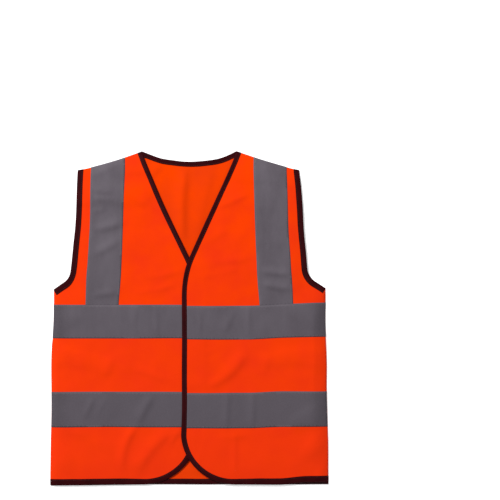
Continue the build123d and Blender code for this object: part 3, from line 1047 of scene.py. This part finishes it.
neck_part = ribbon("back", back_neck(EDGE_STEP), 1, PROFILE, seed=4)
hem_part = ribbon("back", back_hem(EDGE_STEP), 1, PROFILE, seed=5, wide=HEM_WIDE)
back_edges = [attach(binding("back_neck_binding", [neck_part], "neck_binding"), BODY),
              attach(binding("back_hem_tape", [hem_part], "back_hem_binding"), BODY)]
for side in (LEFT, RIGHT):
    line = armhole(side, EDGE_STEP)
    parts = [ribbon(layer, line, side, PROFILE, ARM_SLANT, 6 + side, ARM_WIDE) for layer in (side, "back")]
    edge = binding(f"{NAME[side]}_armhole_tape", parts, f"{NAME[side]}_armhole_binding")
    back_edges.append(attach(edge, BODY))

# ---- hook and loop strips ----

CLOSURE_INNER = INNER + 0.4
HOOK_FACE, LOOP_FACE = -HALF - 0.9, TAPE_OVER + 0.8  # the fields of hooks and of loops


def closure_ring(side, inset_by, step=EDGE_STEP):
    """Round a closure strip, some way inside its edge."""
    inner, outer = CLOSURE_INNER + inset_by, CLOSURE_INNER + CLOSURE_WIDTH - inset_by
    low, high = CLOSURE_FOOT + inset_by, CLOSURE_TOP - inset_by
    return ring(flipped([(inner, low), (outer, low), (outer, high), (inner, high)], side), step)


hook = sheet_object("hook_fastener", LEFT, closure_ring(LEFT, 0), HOOK_FACE, -TAPE_UNDER, FINE)
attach(dress(hook, HOOK, "hook", "hook_strip"), FLAP[LEFT])
loops = sheet_object("loop_fastener", RIGHT, closure_ring(RIGHT, 0), TAPE_OVER + GAP, LOOP_FACE, FINE)
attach(dress(loops, LOOP, "loop", "loop_strip"), FLAP[RIGHT])

# ---- seam allowances ----

ALLOWANCE = [(9.0, 0.30), (9.3, 0.45), (9.0, 0.75), (5, 0.72), (1.6, 0.55), (1.6, 0.30)]
ALLOWANCE_END = 9  # an allowance stops this far from the ends of its seam

for side in (LEFT, RIGHT):
    for seam, ends in {"side": (HEM_END, UNDERARM), "shoulder": (SHOULDER_TIP, NECK_POINT)}.items():
        a, b = (np.array(p, float) for p in ends)
        way = ALLOWANCE_END * unit(b - a)
        line = mirrored(straight(a + way, b - way, 2.0), side)
        allowance = joined(f"{NAME[side]}_{seam}_allowance", [ribbon("back", line, side, ALLOWANCE, seed=9)])
        dress(allowance, ORANGE_BACK, "seam_allowance", f"{NAME[side]}_{seam}_seam")
        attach(allowance, BODY)

# ---- stitching ----

ROW = 2.0  # from a tape's edge to its stitches
STITCH_INSET = 6.4
ON_TAPE, ON_BINDING = TAPE_OVER, (0.72, -0.72)


def band_rows(foot, inner, side):
    return [mirrored(straight((inner + 1, y), (side_x(y) - 2, y), EDGE_STEP), side)
            for y in (foot + ROW, foot + TAPE_WIDTH - ROW)]


def brace_rows(side):
    shift = TAPE_WIDTH / 2 - ROW
    return [mirrored(straight(*brace_line(s), EDGE_STEP), side) for s in (-shift, shift)]


def closure_rows(side):
    corners = mirrored(closure_ring(LEFT, 1.5), side)
    return [np.concatenate([corners, corners[:1]])]


def sewn(name, layers, rows, offsets, material, *stands_for):
    """One piece with rows of stitches on some layers, at some offsets."""
    parts = [stitches(layer, row, offset) for layer in layers for row in rows for offset in offsets]
    return dress(joined(name, parts), material, "thread", *stands_for)


for side in (LEFT, RIGHT):
    name, line = NAME[side], front_edge(side, EDGE_STEP)
    rows = [row for foot in BANDS.values() for row in band_rows(foot, INNER, side)]
    edge_row = inset(line, side, STITCH_INSET * front_binding_width(side, line)[:, None])
    arm_row = inset(armhole(side, EDGE_STEP), side, STITCH_INSET * ARM_WIDE)
    face = {LEFT: HOOK_FACE, RIGHT: LOOP_FACE}[side]
    on_bands = sewn(f"{name}_band_stitches", [side], rows, [ON_TAPE], GREY_THREAD, f"{name}_flap_thread")
    on_brace = sewn(f"{name}_brace_stitches", [side], brace_rows(side), [ON_TAPE], GREY_THREAD,
                    f"{name}_side_thread")
    on_edge = sewn(f"{name}_edge_stitches", [side], [edge_row], ON_BINDING, DARK_THREAD)
    on_arm = sewn(f"{name}_armhole_stitches", [side, "back"], [arm_row], ON_BINDING, DARK_THREAD)
    on_lining = sewn(f"{name}_lining_stitches", [side], rows, [-HALF], ORANGE_THREAD)
    on_strip = sewn(f"{name}_fastener_stitches", [side], closure_rows(side), [face], ORANGE_THREAD)
    for thread in (on_bands, on_edge, on_lining):
        bend(thread)
    for thread, body in ((on_brace, BODY), (on_arm, BODY), (on_strip, FLAP[side])):
        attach(thread, body)

edge_rows = [inset(line(EDGE_STEP), 1, STITCH_INSET * wide)
             for line, wide in ((back_neck, 1), (back_hem, HEM_WIDE))]
rows = [row for side in (LEFT, RIGHT) for foot in BANDS.values() for row in band_rows(foot, 0, side)]
rows += brace_rows(LEFT) + brace_rows(RIGHT)
back_threads = [sewn("back_edge_stitches", ["back"], edge_rows, ON_BINDING, DARK_THREAD),
                sewn("back_band_stitches", ["back"], rows, [-ON_TAPE], GREY_THREAD),
                sewn("back_lining_stitches", ["back"], rows, [HALF], ORANGE_THREAD)]
for thread in back_threads:
    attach(thread, BODY)

# ---- floor, light and camera ----

FLOOR_REACH = 4.0
floor = rectangle("floor", FLOOR_REACH, -FLOOR_REACH, FLOOR_REACH)
paint = bpy.data.materials.new("pale_floor")
paint.use_nodes = True
# a weak glow keeps the ground white round the vest
for socket, value in (("Base Color", (0.99, 0.99, 0.99, 1)), ("Roughness", 0.9),
                      ("Emission Color", (1, 1, 1, 1)), ("Emission Strength", 0.4)):
    paint.node_tree.nodes["Principled BSDF"].inputs[socket].default_value = value
floor.data.materials.append(paint)
floor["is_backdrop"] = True

KEY_AT = Vector((-2.4, 3.1, 3.95))
key = bpy.data.lights.new("key", "AREA")
key.shape = "DISK"
key.size = 1.5
key.energy = 329
lamp = bpy.data.objects.new("key", key)
lamp.location = KEY_AT
lamp.rotation_euler = (-KEY_AT).to_track_quat("-Z", "Y").to_euler()
bpy.context.scene.collection.objects.link(lamp)

world = bpy.data.worlds.new("studio")
world.use_nodes = True
world.node_tree.nodes["Background"].inputs["Color"].default_value = (1, 1, 1, 1)
world.node_tree.nodes["Background"].inputs["Strength"].default_value = 0.4
bpy.context.scene.world = world
bpy.context.scene.view_settings.view_transform = "Standard"

VIEW_WIDTH = 0.78  # metres across the picture
VIEW_CENTRE = (0.0947, HEM + 0.3666)  # the vest lies to the lower left, as in the photograph
DISTANCE = 3.0
camera_data = bpy.data.cameras.new("camera")
camera_data.lens = camera_data.sensor_width * DISTANCE / VIEW_WIDTH
camera = bpy.data.objects.new("camera", camera_data)
camera.location = (*VIEW_CENTRE, DISTANCE)
bpy.context.scene.collection.objects.link(camera)
bpy.context.scene.camera = camera

# ---- sizes ----

low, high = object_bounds()
